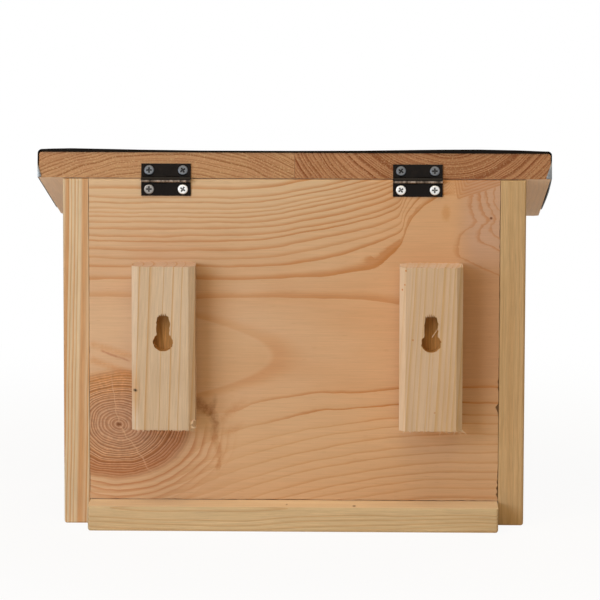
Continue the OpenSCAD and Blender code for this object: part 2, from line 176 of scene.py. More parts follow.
# %% Lamps
lamps = (("soft_lamp", (0.6, 0.45), 4.5, (0.6, 0.91, 0.34), (0.86, 0.92, 1)),
         ("top_lamp", (1.6, 2), 17, (0.1, 0.85, 1.5), (1, 0.8, 0.49)),
         ("front_lamp", (1, 1), 9, (-0.6, -1.3, 0.9), (1, 0.95, 0.9)))
for name, size, watts, spot, tint in lamps:
    lamp_data = bpy.data.lights.new(name, "AREA")
    lamp_data.shape = "RECTANGLE"
    lamp_data.size, lamp_data.size_y = size
    lamp_data.energy = watts
    lamp_data.color = tint
    lamp = bpy.data.objects.new(name, lamp_data)
    bpy.context.scene.collection.objects.link(lamp)
    lamp.location = spot
    lamp.rotation_mode = "QUATERNION"
    lamp.rotation_quaternion = (lamp.location - (cad_box[0] + cad_box[1]) / 2).to_track_quat("Z", "Y")
    print(name, "of", watts, "W at", spot)
bpy.context.scene.view_settings.view_transform = "Standard"

# %% [markdown]
# # Sawn pine
# The boards are planed pine without a finish. Its look comes from the log: pale early wood and a thin, dark
# line of late wood each year, wrapped round the pith. One function makes that log in millimetres, with the
# grain along its own Z, and each board turns and shifts it, so the same rings show as stripes on a face and
# as arcs on an end, as they do on a real board.

# %% What all planed pine has
def streaks(add, place, stretch, detail, roughness=0.5):
    place = add("VectorMath", [place, stretch], "MULTIPLY")
    return add("TexNoise", {"Vector": place, "Scale": 1, "Detail": detail, "Roughness": roughness})


def late_wood(add, years, width, faded, sharp, least, bold):
    year = add("Math", [years], "FRACT")
    inward = add("Math", [year, width], "MULTIPLY")
    which = add("Math", [years], "FLOOR")
    which = add("TexWhiteNoise", {"W": which}, noise_dimensions="1D")
    strong = add("MapRange", [which, 0, 1, least * bold, bold])
    return inward, add("MapRange", [inward, faded, sharp, 0, strong], **smooth)


def scattered(add, place, scale, rarity, rim, core, strength):
    cells = add("TexVoronoi", {"Vector": place, "Scale": scale}, feature="F1")
    chosen = add("SeparateColor", [cells.outputs["Color"]])
    chosen = add("Math", [chosen, rarity], "GREATER_THAN")
    marks = add("MapRange", [cells.outputs["Distance"], rim, core, 0, strength])
    return add("Math", [marks, chosen], "MULTIPLY")


def planed_surface(add, colour, lines, fibres, strength, smoothest, roughest):
    height = add("Math", [lines, 0.4, fibres], "MULTIPLY_ADD")
    bump = add("Bump", {"Strength": strength, "Distance": 0.0004, "Height": height})
    rough = add("MapRange", [fibres, 0.3, 0.7, smoothest, roughest])
    surface = add("BsdfPrincipled", {"Base Color": colour, "Roughness": rough, "IOR": 1.45, "Specular IOR Level": 0.2,
                                     "Normal": bump})
    add("OutputMaterial", {"Surface": surface})


print("planed pine: streaks, late wood, scattered marks and a bumpy surface")


# %% The log that the boards are cut from
def sawn_pine(name, pale, warm, late, turn, pith, spacing, bold, late_mm=1.4, fibre=0.07, specks=0, wander=9,
              face=None, ends=(0.88, 0.88, 0.88), painted_top_light=None, painted_arris_highlight=None, flaws=(), resin=0):
    material, add = new_material(name)
    place = add("TexCoord")
    log = add("Mapping", {"Vector": place.outputs["Object"], "Location": pith,
                          "Rotation": [math.radians(a) for a in turn], "Scale": (1000, 1000, 1000)})
    drift = streaks(add, log, (0.022, 0.022, 0.006), 2)
    drift = add("VectorMath", [drift.outputs["Color"], (0.5, 0.5, 0.5)], "SUBTRACT")
    drift = add("VectorMath", {0: drift, "Scale": wander}, "SCALE")
    bent = add("VectorMath", [log, drift], "ADD")
    across = add("VectorMath", [bent, (1, 1, 0)], "MULTIPLY")
    radius = add("VectorMath", [across], "LENGTH")
    years = add("Math", [radius, spacing], "DIVIDE")
    uneven = add("TexNoise", {"W": years, "Scale": 0.45, "Detail": 1}, noise_dimensions="1D")
    years = add("Math", [uneven, 2.2, years], "MULTIPLY_ADD")
    _, growth = late_wood(add, years, spacing, late_mm, 0.1, 0.5, bold)
    threads = streaks(add, bent, (1.5, 1.5, 0.05), 4, 0.7)
    cloud = streaks(add, bent, (0.05, 0.05, 0.012), 2)
    cloud = add("MapRange", [cloud, 0.35, 0.65, 0, 1])
    ground = add("Mix", {0: cloud, 6: pale, 7: warm}, **rgba)
    wood = add("Mix", {0: growth, 6: ground, 7: late}, **rgba)
    dots = streaks(add, log, (1.1, 1.1, 0.3), 1)
    dots = add("MapRange", [dots, 0.55, 0.68, 0, specks])
    wood = add("Mix", {0: dots, 6: wood, 7: "#dcbd92"}, **rgba)
    facing = add("VectorRotate", {"Vector": place.outputs["Normal"], "Rotation": [math.radians(a) for a in turn]},
                 rotation_type="EULER_XYZ")
    facing = add("SeparateXYZ", [facing])
    end = add("Math", [facing.outputs["Z"]], "ABSOLUTE")
    # faces other than end grain take a paler tone; on the roof boards it is partly painted light, lifting the
    # undersides
    if face:
        plain = add("MapRange", [end, 0.6, 0.9, 0.8, 0])
        wood = add("Mix", {0: plain, 6: wood, 7: face}, **rgba)
    if resin:
        drops = scattered(add, log, 0.13, 0.7, 0.11, 0.05, resin)
        wood = add("Mix", {0: drops, 6: wood, 7: "#c07434"}, **rgba)
    for middle, reach, ragged, strength, tint in flaws:
        near = add("VectorMath", [place.outputs["Object"], [v / 1000 for v in middle]], "SUBTRACT")
        near = add("VectorMath", [near, [1000 / v if v else 0 for v in reach]], "MULTIPLY")
        near = add("VectorMath", [near], "LENGTH")
        near = add("Math", [threads, ragged, near], "MULTIPLY_ADD")
        near = add("MapRange", [near, 1 + 0.5 * ragged, 0.3 + 0.5 * ragged, 0, strength])
        wood = add("Mix", {0: near, 6: wood, 7: tint}, **rgba)
    shade = add("MapRange", [threads, 0.3, 0.7, 1 - fibre, 1 + fibre])
    colour = add("VectorMath", {0: wood, "Scale": shade}, "SCALE")
    normal = add("SeparateXYZ", [place.outputs["Normal"]])
    slanted = add("Math", [normal.outputs["X"], normal.outputs["Y"]], "MULTIPLY")
    slanted = add("Math", [slanted], "ABSOLUTE")
    # tints by facing: end grain's own tone, lifted on the blocks' tops as painted light; painted light on up-facing
    # tops; a painted highlight on slanted arrises
    for share, start, full, tint in ((end, 0.6, 0.9, ends), (normal.outputs["Z"], 0.8, 0.98, painted_top_light),
                                     (slanted, 0.3, 0.45, painted_arris_highlight)):
        if tint:
            share = add("MapRange", [share, start, full, 0, 1])
            toned = add("VectorMath", [share, [c - 1 for c in tint], (1, 1, 1)], "MULTIPLY_ADD")
            colour = add("VectorMath", [colour, toned], "MULTIPLY")
    planed_surface(add, colour, growth, threads, 0.3, 0.55, 0.75)
    return material


def finish_node(name, material):
    nodes[name].data.materials.clear()
    nodes[name].data.materials.append(material)


upright, along_x = (0, 0, 0), (0, 90, 0)
down_roof = (90 - 13.5, 0, 0)
finish_node("right_side", sawn_pine(
    "planed_pine_right_side", "#dac6a9", "#d5bc9b", "#c4854a", (0, 1.2, 0), (-42, -57.5, 30), 3.1, 1,
    late_mm=1.7, fibre=0.12, wander=4))
finish_node("left_side", sawn_pine(
    "planed_pine_left_side", "#d1b48b", "#ccad84", "#b38b5f", upright, (215, -30, 70), 3.4, 0.5, fibre=0.15))
# the floor's top face is made lighter and bluer: painted light from above
finish_node("floor_board", sawn_pine(
    "planed_pine_floor", "#d8c29e", "#d2ba95", "#c29b71", along_x, (60, -20, 55), 1.7, 0.7,
    late_mm=0.8, fibre=0.12, painted_top_light=(1.34, 1.4, 1.62),
    flaws=(((3.9, 112, 15), (0.8, 3, 2), 0.5, 0.6, "#8a5a30"), ((-37, 116, 15), (1.4, 4, 2), 0.5, 0.75, "#6f4524"))))
# roof faces: paler than the end grain, and partly painted light from below, as the near-white tone lifts the
# undersides
finish_node("right_roof_board", sawn_pine(
    "planed_pine_roof_right", "#cb9f77", "#c2926d", "#986540", down_roof, (-77.7, 46.5, 0), 2.2, 0.95,
    late_mm=1.4, specks=0.55, face="#f4e0d0"))
finish_node("left_roof_board", sawn_pine(
    "planed_pine_roof_left", "#c4916c", "#b88761", "#7d3c1a", down_roof, (90.3, 247.5, 0), 2.1, 1,
    late_mm=1.5, specks=0.4, face="#f4e0d0"))
print("pine on", sum("pine" in n.data.materials[0].name for n in nodes.values() if n.data.materials), "boards")

# %% [markdown]
# # The figure of the back panel
# The back panel was cut close to two branches: a knot shows at one lower corner, and a second branch just
# above the top edge combs the lines up towards it. A picture of wood can't be used, and plain rings don't
# bend like that, so the lines are drawn as heights: each line of late wood is a place of equal height in a
# field, and the field is the height on the board, lifted, lowered or parted round the knot.

# %% The panel's upper lines
def curve(add, source, points):
    node = add("FloatCurve", {"Value": source})
    line = node.mapping.curves[0]
    line.points[0].location, line.points[1].location = points[0], points[-1]
    for x, y in points[1:-1]:
        line.points.new(x, y)
    node.mapping.update()
    return node


def off_middle(add, place, p, z, wide, tall):
    near = add("Mapping", {"Vector": place, "Location": (-p / wide, 0, -z / tall), "Scale": (1 / wide, 0, 1 / tall)})
    return add("VectorMath", [near], "LENGTH")


panel_material, add = new_material("planed_pine_back_panel")
figure = panel_material.node_tree.nodes
place = add("TexCoord")
mm = add("Mapping", {"Vector": place.outputs["Object"], "Scale": (-1000, 1000, 1000)})
axes = add("SeparateXYZ", [mm])
p, z = axes.outputs["X"], axes.outputs["Z"]
panel_half = 124
sway = streaks(add, mm, (0.018, 0.02, 0.06), 4, 0.55)
sway = add("MapRange", [sway, 0, 1, -2.4, 2.4])

# the upper lines rise to the branch above the top edge and fall in folds on its far side
fold = add("Math", [z, 5.6], "DIVIDE")
fold = add("Math", [fold], "SINE")
folded = add("MapRange", [p, 84, 108, 0, 4.5], **smooth)
fold = add("Math", [fold, folded, p], "MULTIPLY_ADD")
fold = add("Math", [sway, 1.2, fold], "MULTIPLY_ADD")
fold = add("MapRange", [fold, -panel_half, panel_half, 0, 1])
rise = curve(add, fold, [(0, 0), (0.3, 0), (0.44, 0.03), (0.513, 0.09), (0.605, 0.17), (0.66, 0.235), (0.707, 0.298),
                         (0.73, 0.342), (0.75, 0.385), (0.76, 0.425), (0.767, 0.51), (0.774, 0.596), (0.785, 0.687),
                         (0.8025, 0.789), (0.833, 0.908), (0.888, 1), (0.93, 0.97), (1, 0.9)])
fade = add("MapRange", [z, 135, 176, 0, 1], **smooth)
lift = add("Math", [rise, fade], "MULTIPLY")
slope = add("MapRange", [p, 20, panel_half, 0, 9], **smooth)
unfaded = add("Math", [1, fade], "SUBTRACT")
upper = add("Math", [lift, -53, z], "MULTIPLY_ADD")
upper = add("Math", [slope, unfaded, upper], "MULTIPLY_ADD")
upper = add("Math", [upper, sway], "ADD")
print("upper lines, nodes so far", len(figure))

# %% [markdown]
# # Lines round the knot
# The lower lines part at the knot as water parts at a post: a height above or below its middle is kept far
# away and pressed to nothing at its rim. They also sink a little on their way to it.

# %% The panel's lower lines
knot_x, knot_z = -106.5, 61.3
far = off_middle(add, mm, -110, knot_z, 43, 32)
far = add("Math", [far, 1], "MAXIMUM")
near = add("Math", [far, -2], "POWER")
above = add("Math", [z, knot_z], "SUBTRACT")
push = add("Math", [above, near], "MULTIPLY")
lower = add("Math", [z, push], "SUBTRACT")
sink = add("MapRange", [p, -panel_half, 100, 25, 0], **smooth)
along = add("MapRange", [p, -panel_half, panel_half, 0, 1])
level_off = curve(add, along, [(0, 0), (0.33, 0), (0.4, 0.55), (0.46, 0.85), (0.524, 0.9), (0.6, 0.5), (0.7, 0.1),
                               (1, 0)])
topmost = add("MapRange", [z, 62, 72, 0, -3.4], **smooth)
sink = add("Math", [level_off, topmost, sink], "MULTIPLY_ADD")
lower = add("Math", [lower, sink], "ADD")
lower = add("Math", [lower, sway], "ADD")

# heights become years; each line is dark at its outer side and fades inwards over a millimetre or two
# of each family: its field, the heights it spans, where it fades in, its years, how dark, their places and widths
families = (
    (upper, 125, 212, 112, 132, 16, 1, 0.6,
     [(0, 0.5), (0.165, 1), (0.291, 2), (0.376, 3), (0.434, 4), (0.494, 5), (0.558, 6), (0.593, 7), (0.644, 8),
      (0.687, 9), (0.727, 10), (0.757, 11), (0.785, 12), (0.826, 13), (0.861, 14), (0.923, 15), (1, 16)],
     [(0, 0.6), (0.15, 0.55), (0.3, 0.4), (0.5, 0.34), (0.75, 0.25), (0.9, 0.33), (1, 0.4)]),
    (lower, 0, 110, 116, 100, 16, 0.9, 0.65,
     [(0, 0), (0.11, 2), (0.2195, 4), (0.264, 5), (0.304, 6), (0.354, 7), (0.412, 8), (0.454, 9), (0.51, 10),
      (0.568, 11), (0.615, 12), (0.681, 13), (0.761, 14), (0.9, 14.8), (1, 14.9)],
     [(0, 0.36), (0.3, 0.4), (0.5, 0.55), (0.7, 0.85), (1, 1)]))
weaker = curve(add, along, [(0, 0.72), (0.2, 0.68), (0.35, 0.78), (0.5, 0.9), (0.63, 1), (1, 1)])
drawn = []
for height, low, high, clear, full, count, bold, least, at, apart in families:
    level = add("MapRange", [height, low, high, 0, 1])
    years = curve(add, level, [(x, y / count) for x, y in at])
    years = add("Math", [years, count], "MULTIPLY")
    inward, line = late_wood(add, years, curve(add, level, apart), 0.17, 0.015, least, bold)
    if height is lower:
        band = overlap(add, (inward, 0.5, 0.05, 0, 0.5, soft), (p, -25, -75, 0.25, 1, soft))
        bolder = add("MapRange", [z, 58, 70, 0.65, 1.2])
        right = add("MapRange", [p, -45, 0, 0.5, 1])
        for share in (bolder, right):
            line = add("Math", [line, share], "MULTIPLY")
        line = add("Math", [line, band], "MAXIMUM")
    seen = add("MapRange", [z, clear, full, 0, 1], **smooth)
    shares = [weaker]
    if height is upper:
        beyond = add("MapRange", [p, 90, 97, 1, 0])
        arch = add("MapRange", [p, 58.3, 66, 120, 149])
        arch = add("Math", [upper, arch], "GREATER_THAN")
        shares = [beyond, arch, weaker]
    for share in shares:
        seen = add("Math", [seen, share], "MULTIPLY")
    drawn.append(add("Math", [line, seen], "MULTIPLY"))
late = add("Math", [drawn[0], drawn[1]], "MAXIMUM")

# one year of the upper lines is broad and torn where it climbs
torn = add("VectorMath", [mm, (0.16, 0.05, 0.3)], "MULTIPLY")
torn = add("TexVoronoi", {"Vector": torn, "Scale": 1}, feature="F1")
torn = add("SeparateColor", [torn.outputs["Color"]])
torn = add("Math", [torn, 1.3, upper], "MULTIPLY_ADD")
broad = overlap(add, (torn, 154.6, 153.6, 0, 1, even), (torn, 151.2, 151.7, 0, 1, even))
climb = overlap(add, (p, 36, 46, 0, 1, soft), (p, 82, 72, 0, 0.75, soft))
broad = add("Math", [broad, climb], "MULTIPLY")
late = add("Math", [late, broad], "MAXIMUM")
print("panel lines drawn from", len(figure), "nodes")

# %% [markdown]
# # Knot, flame and fibres
# The knot is a slanted branch cut across: close rings round its pith, browner than the board, with pale
# cracks. Beside it the wood is pale inside a flame that points away from the knot, and stained dark where the
# fibres close behind it. Over everything lie the fibres, fine streaks along the board.

# %% The branch in the upper corner
def stroke(add, place, start, lean, length, wide, wander):
    way = add("VectorMath", [place, (start[0], 0, start[1])], "SUBTRACT")
    way = add("VectorRotate", {"Vector": way, "Angle": math.radians(-lean)}, rotation_type="Y_AXIS")
    way = add("SeparateXYZ", [way])
    across = add("Math", [wander, 0.5, way.outputs["X"]], "MULTIPLY_ADD")
    across = add("Math", [across], "ABSOLUTE")
    across = add("MapRange", [across, wide, 0.2 * wide, 0, 1])
    far = way.outputs["Z"]
    inside = overlap(add, (far, 0, 2, 0, 1, even), (far, length, 0.6 * length, 0, 1, even))
    return add("Math", [across, inside], "MULTIPLY")


# beyond the branch the lines fall in steps: each is a curve of places along the height, its fading and how dark it is
hatch = add("VectorMath", [mm, (98.4, 0, 199.8)], "SUBTRACT")
flanks = [add("VectorMath", [hatch, way], "DOT_PRODUCT") for way in ((-0.98, 0, -0.18), (0.31, 0, -0.95))]
bowl = add("Math", [flanks[0], flanks[1], 2.5], "SMOOTH_MAX")
bowl = add("Math", [sway, 0.4, bowl], "MULTIPLY_ADD")
outside = add("MapRange", [bowl, -0.2, 0.4, 0, 1])
level = add("MapRange", [z, 145, 212, 0, 1])
steps = (([(0, 150), (0.149, 122.1), (0.23, 109.8), (0.281, 103), (0.304, 99.9), (0.352, 99), (0.418, 99.6),
           (0.484, 100.5), (0.525, 103), (0.575, 107.9), (0.622, 109.8), (0.688, 108.2), (0.745, 107), (0.81, 107),
           (1, 110)], 3.2, 0.6),
         ([(0, 160), (0.33, 128), (0.37, 122.7), (0.403, 118.4), (0.427, 113.8), (0.455, 112.5), (0.525, 112.2),
           (0.578, 114.7), (0.627, 117.8), (0.679, 115.3), (0.745, 113.5), (0.819, 112.2), (1, 114)], 3.2, 0.7),
         ([(0, 160), (0.44, 127), (0.484, 122.4), (0.501, 120.8), (0.537, 119.2), (0.567, 119), (0.622, 121.1),
           (0.67, 121.1), (0.699, 119.9), (0.754, 118.1), (0.81, 116.7), (0.885, 115.9), (1, 117)], 2.2, 0.6),
         ([(0, 160), (0.7, 126), (0.754, 122), (0.848, 121.1), (1, 120.5)], 1.6, 0.5))
farthest = 160
jag = add("TexNoise", {"Vector": mm, "Scale": 0.4, "Detail": 3})
jag = add("MapRange", [jag, 0, 1, -2.2, 2.2])
for at_height, fading, strength in steps:
    line = curve(add, level, [(x, y / farthest) for x, y in at_height])
    line = add("Math", [line, -farthest, p], "MULTIPLY_ADD")
    line = add("Math", [line, jag], "ADD")
    dark = overlap(add, (line, -fading, -0.2, 0, strength, soft), (line, 0.5, 0, 0, 1, even))
    dark = add("Math", [dark, outside], "MULTIPLY")
    late = add("Math", [late, dark], "MAXIMUM")

# the lines inside the bowl follow its rim, and those beside it curl up along its flank
nested = add("Math", [bowl, -1.7], "DIVIDE")
curled = add("MapRange", [p, 88, 96.5, 0, 1])
curled = add("Math", [curled, 3], "POWER")
curled = add("Math", [curled, -9, z], "MULTIPLY_ADD")
curled = add("Math", [curled, 1.95], "DIVIDE")
inside = add("Math", [1, outside], "SUBTRACT")
beside = add("MapRange", [p, 97.6, 96.8, 0, 1])
near_top = add("MapRange", [z, 201.5, 203, 0, 1])
past = add("MapRange", [p, 84, 87, 0, 1])
for field, least, shares in ((nested, 0.2, (inside,)), (curled, 0, (outside, beside, near_top, past))):
    ring = add("Math", [field], "FRACT")
    ring = add("MapRange", [ring, 0.75, 0, least, 0.75])
    for share in shares:
        ring = add("Math", [ring, share], "MULTIPLY")
    late = add("Math", [late, ring], "MAXIMUM")
print("branch corner, nodes so far", len(figure))

# %% The panel's ground
grain = streaks(add, mm, (0.045, 1, 1.7), 4, 0.7)
cloud = streaks(add, mm, (0.012, 0.02, 0.03), 2)
cloud = add("MapRange", [cloud, 0.35, 0.65, 0, 1])
ground = add("Mix", {0: cloud, 6: "#d8b797", 7: "#d1a986"}, **rgba)

# towards these places the ground takes another tone, and two ranges together mean a corner
tones = (("#ddae83", (p, -40, 110, 0, 0.8, soft)),
         # painted shade: darker down the right edge beside the right block, lengthening its shadow
         ("#c69a78", (p, 94, 112, 0, 0.9, soft)),
         ("#cfaa94", (z, 148, 180, 0, 0.9, soft), (p, 94, 112, 0, 0.9, soft)),
         ("#dbb893", (z, 100, 45, 0, 0.7, soft)),
         ("#dbba9b", (p, -80, -110, 0, 0.35, soft)),
         # lighter towards the top edge: partly the wood's own tone, partly painted light against the shade under the
         # roof's edge
         ("#dabe9d", (z, 150, 208, 0, 0.85, soft), (p, 65, 10, 0.1, 1, soft)))
for tint, *ranges in tones:
    ground = add("Mix", {0: overlap(add, *ranges), 6: ground, 7: tint}, **rgba)

# the flame lies on its side: its edge is a parabola whose tip points away from the knot
bent = add("Math", [z, 103.7], "SUBTRACT")
bent = add("Math", [bent, 2], "POWER")
flame = add("Math", [bent, 0.085, p], "MULTIPLY_ADD")
flame = add("Math", [flame, sway], "ADD")
pale = overlap(add, (flame, -12.3, -18, 0, 0.25, soft), (p, -62, -36, 0, 1, soft))
ground = add("Mix", {0: pale, 6: ground, 7: "#cda67c"}, **rgba)
edge = overlap(add, (flame, -16.5, -11, 0, 0.4, soft), (flame, -10, 12, 1, 0, soft), (p, -75, -60, 0, 1, even))
late = add("Math", [late, edge], "MAXIMUM")
weight = add("MapRange", [cloud, 0, 1, 0.7, 0.9])
weight = add("Math", [late, weight], "MULTIPLY")
wood = add("Mix", {0: weight, 6: ground, 7: "#bd7a3e"}, **rgba)
print("panel ground, nodes so far", len(figure))

# %% The knot's rings and cracks
wobble = add("TexNoise", {"Vector": mm, "Scale": 0.05, "Detail": 2})
out = off_middle(add, mm, knot_x, knot_z, 43, 33)
out = add("Math", [wobble, 0.14, out], "MULTIPLY_ADD")
out = add("Math", [out, 0.07], "SUBTRACT")
rings = 22
turns = add("Math", [out, rings], "MULTIPLY")
uneven = add("TexNoise", {"W": turns, "Scale": 0.5, "Detail": 1}, noise_dimensions="1D")
turns = add("Math", [uneven, 1.4, turns], "MULTIPLY_ADD")
whole = add("Math", [turns], "FLOOR")
whole = add("TexWhiteNoise", {"W": whole}, noise_dimensions="1D")
turns = add("Math", [turns], "FRACT")
ring = add("ValToRGB", [turns])
for stop in ring.color_ramp.elements:
    stop.color = linear("#eac6a4")
ring.color_ramp.elements.new(0.4).color = linear("#c9966c")
ring.color_ramp.elements.new(0.75).color = linear("#74380f")
faint = add("MapRange", [whole, 0, 1, 0.4, 0])
over = add("MapRange", [z, 76, 90, 0, 0.45])
heart = add("MapRange", [out, 0.25, 0.7, 0.8, 0])
hair = add("MapRange", [turns, 0, 0.4, 0.7, 0])
hair = add("Math", [hair, heart], "MULTIPLY")
knot = ring
for share, tint in ((faint, "#c08c64"), (over, "#c98a4e"), (heart, "#ac8066"), (hair, "#dfc0a6")):
    knot = add("Mix", {0: share, 6: knot, 7: tint}, **rgba)
mottle = add("TexNoise", {"Vector": mm, "Scale": 0.35, "Detail": 4, "Roughness": 0.7})
mottle = add("MapRange", [mottle, 0.3, 0.7, 0.8, 1.15])
knot = add("VectorMath", {0: knot, "Scale": mottle}, "SCALE")

# below, the knot is redder towards its rim, and its pith is dark
wash = overlap(add, (out, 0.5, 0.85, 0, 0.5, soft), (z, 66, 48, 0, 1, even))
pith = add("MapRange", [out, 0.04, 0.02, 0, 0.9])
for share, tint in ((wash, "#a8643c"), (pith, "#6d3518")):
    knot = add("Mix", {0: share, 6: knot, 7: tint}, **rgba)

# two cracks run out from the pith
quiver = add("TexNoise", {"Vector": mm, "Scale": 0.14, "Detail": 4})
quiver = add("MapRange", [quiver, 0, 1, -5, 5])
for lean, length in ((-9, 34), (145, 46)):
    crack = stroke(add, mm, (knot_x, knot_z), lean, length, 0.6, quiver)
    crack = add("Math", [crack, 0.45], "MULTIPLY")
    knot = add("Mix", {0: crack, 6: knot, 7: "#dcb797"}, **rgba)
inside = add("MapRange", [out, 1.1, 0.9, 0, 0.95], **smooth)
wood = add("Mix", {0: inside, 6: wood, 7: knot}, **rgba)
halo = add("Math", [out, 9], "MULTIPLY")
halo = add("Math", [halo], "FRACT")
halo = overlap(add, (halo, 0.6, 0, 0, 0.6, soft), (out, 0.98, 1.1, 0, 1, even), (out, 1.75, 1.2, 0, 1, even),
               (z, 64, 50, 0, 1, even))
wood = add("Mix", {0: halo, 6: wood, 7: "#bd7340"}, **rgba)
print("knot of", rings, "rings, nodes so far", len(figure))

# %% Stains, specks and fibres
frayed = add("TexNoise", {"Vector": mm, "Scale": 0.25, "Detail": 4, "Roughness": 0.6})
frayed = add("VectorMath", [frayed.outputs["Color"], (0.5, 0.5, 0.5)], "SUBTRACT")
frayed = add("VectorMath", [frayed, (6, 0, 6), mm], "MULTIPLY_ADD")
patchy = add("TexNoise", {"Vector": mm, "Scale": 0.7, "Detail": 4, "Roughness": 0.7})
stains = (((-61, 78), 137, 15, 4.5, 0.55, "#8a5229"), ((-54, 74), 150, 18, 4, 0.55, "#915a30"),
          ((-47.8, 65), 184, 14, 3, 0.45, "#9a6234"), ((-48.4, 56), 166, 20, 2.6, 0.4, "#b4743e"),
          ((-44.8, 43), 188, 13, 1.8, 0.5, "#b8743a"), ((-51.3, 66), 17, 16, 2.2, 0.4, "#8f5c33"),
          ((-45, 63.5), 49, 24, 3.4, 0.35, "#bd7d52"), ((-43, 55), 62, 16, 3, 0.3, "#bd7d52"))
bands = (((-124.5, 111), 107, 38, 3.4, 0.4, "#c98650"), ((-124.5, 101.5), 110, 38, 3.2, 0.45, "#c98650"),
         ((-117.9, 106.8), 112, 8, 0.9, 0.55, "#a8583a"), ((-113.3, 104.9), 110, 9, 1, 0.55, "#a8583a"),
         ((-107, 103), 112, 9, 0.9, 0.5, "#a8583a"))
for ground_mm, group in ((frayed, stains), (mm, bands)):
    for start, lean, length, wide, strength, tint in group:
        mark = stroke(add, ground_mm, start, lean, length, wide, 0)
        broken = add("MapRange", [patchy, 0.35, 0.6, 0.5 * strength, strength])
        mark = add("Math", [mark, broken], "MULTIPLY")
        wood = add("Mix", {0: mark, 6: wood, 7: tint}, **rgba)
marks = ((118.8, 188.5, 1.3, 1.3, 0.9, "#6d3a1c"), (91.6, 191.4, 3.6, 6.5, 0.4, "#c98a4c"))
for at_p, at_z, wide, tall, strength, tint in marks:
    mark = off_middle(add, mm, at_p, at_z, wide, tall)
    mark = add("Math", [patchy, 0.8, mark], "MULTIPLY_ADD")
    mark = add("MapRange", [mark, 1.4, 0.7, 0, strength], **smooth)
    wood = add("Mix", {0: mark, 6: wood, 7: tint}, **rgba)
flecks = add("VectorMath", [mm, (0.16, 1, 0.9)], "MULTIPLY")
flecks = scattered(add, flecks, 1, 0.93, 0.35, 0.15, 0.12)
wood = add("Mix", {0: flecks, 6: wood, 7: "#a46b42"}, **rgba)
shade = add("MapRange", [grain, 0.3, 0.7, 0.93, 1.07])
colour = add("VectorMath", {0: wood, "Scale": shade}, "SCALE")
planed_surface(add, colour, late, grain, 0.2, 0.52, 0.7)
finish_node("back_panel", panel_material)
print("panel figure of", len(figure), "nodes")

# %% [markdown]
# # The panel's edges
# A panel sawn to length doesn't meet its neighbours in a straight dark line: torn fibres close the joint here
# and open it there. The panel's own mesh is copied and cleaned, its sides are moved out almost to the
# neighbours, and the rim that shows is divided finely and pushed in at random, deeper where the saw left
# ticks.

# %% A panel with ragged edges
import random


def choose_edges(piece, test):
    bpy.ops.object.mode_set(mode="EDIT")
    bpy.ops.mesh.select_mode(type="EDGE")
    bpy.ops.mesh.select_all(action="DESELECT")
    bpy.ops.object.mode_set(mode="OBJECT")
    points = piece.data.vertices
    for edge in piece.data.edges:
        edge.select = test(*[points[i].co for i in edge.vertices])
    bpy.ops.object.mode_set(mode="EDIT")


def pick(piece):
    bpy.ops.object.select_all(action="DESELECT")
    piece.select_set(True)
    bpy.context.view_layer.objects.active = piece


def pull(*way):
    bpy.ops.mesh.extrude_region_move(TRANSFORM_OT_translate={"value": way})


def face_outwards():
    bpy.ops.object.mode_set(mode="EDIT")
    bpy.ops.mesh.select_all(action="SELECT")
    bpy.ops.mesh.normals_make_consistent(inside=False)
    bpy.ops.object.mode_set(mode="OBJECT")


def at(value, wanted):
    return abs(value - wanted) < 2e-5


wider, lower_by, rough = 0.0003, 0.0002, 0.0004
low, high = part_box("back_panel")
panel = bpy.data.objects.new("ragged_back_panel", nodes["back_panel"].data.copy())
bpy.context.scene.collection.objects.link(panel)
pick(panel)
bpy.ops.object.mode_set(mode="EDIT")
bpy.ops.mesh.select_all(action="SELECT")
bpy.ops.mesh.remove_doubles(threshold=0.00001)
bpy.ops.object.mode_set(mode="OBJECT")
for point in panel.data.vertices:
    for side in (low[0], high[0]):
        if at(point.co.x, side):
            point.co.x += math.copysign(wider, side)
    if at(point.co.z, low[2]):
        point.co.z -= lower_by
edges = (low[0] - wider, high[0] + wider, low[2] - lower_by)


def showing(a, b):
    upright = any(at(a.x, x) and at(b.x, x) for x in edges[:2])
    return at(a.y, high[1]) and at(b.y, high[1]) and (upright or (at(a.z, edges[2]) and at(b.z, edges[2])))


choose_edges(panel, showing)
bpy.ops.mesh.subdivide(number_cuts=160)
bpy.ops.object.mode_set(mode="OBJECT")
chance = random.Random(3)
# heights of the saw's ticks and how deep they are, in millimetres
ticks = {88.6: 0.8, 85: 0.9, 78.2: 0.9, 73.3: 2.4, 71: 1.6, 66.6: 1.2, 31.1: 0.9, 27.3: 1.3, 23: 1.1, 18.9: 1.5}
for point in panel.data.vertices:
    if showing(point.co, point.co) and point.co.z < high[2] - 0.002:
        push = rough * chance.random() ** 2
        if at(point.co.z, edges[2]):
            point.co.z += push
        else:
            if point.co.x < 0:
                push += max(deep * max(0, 0.9 - abs(1000 * point.co.z - tick)) for tick, deep in ticks.items()) / 1000
            point.co.x -= math.copysign(push, point.co.x)
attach(panel, "box")
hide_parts("back_panel")
print(panel.name, len(panel.data.polygons), "faces")
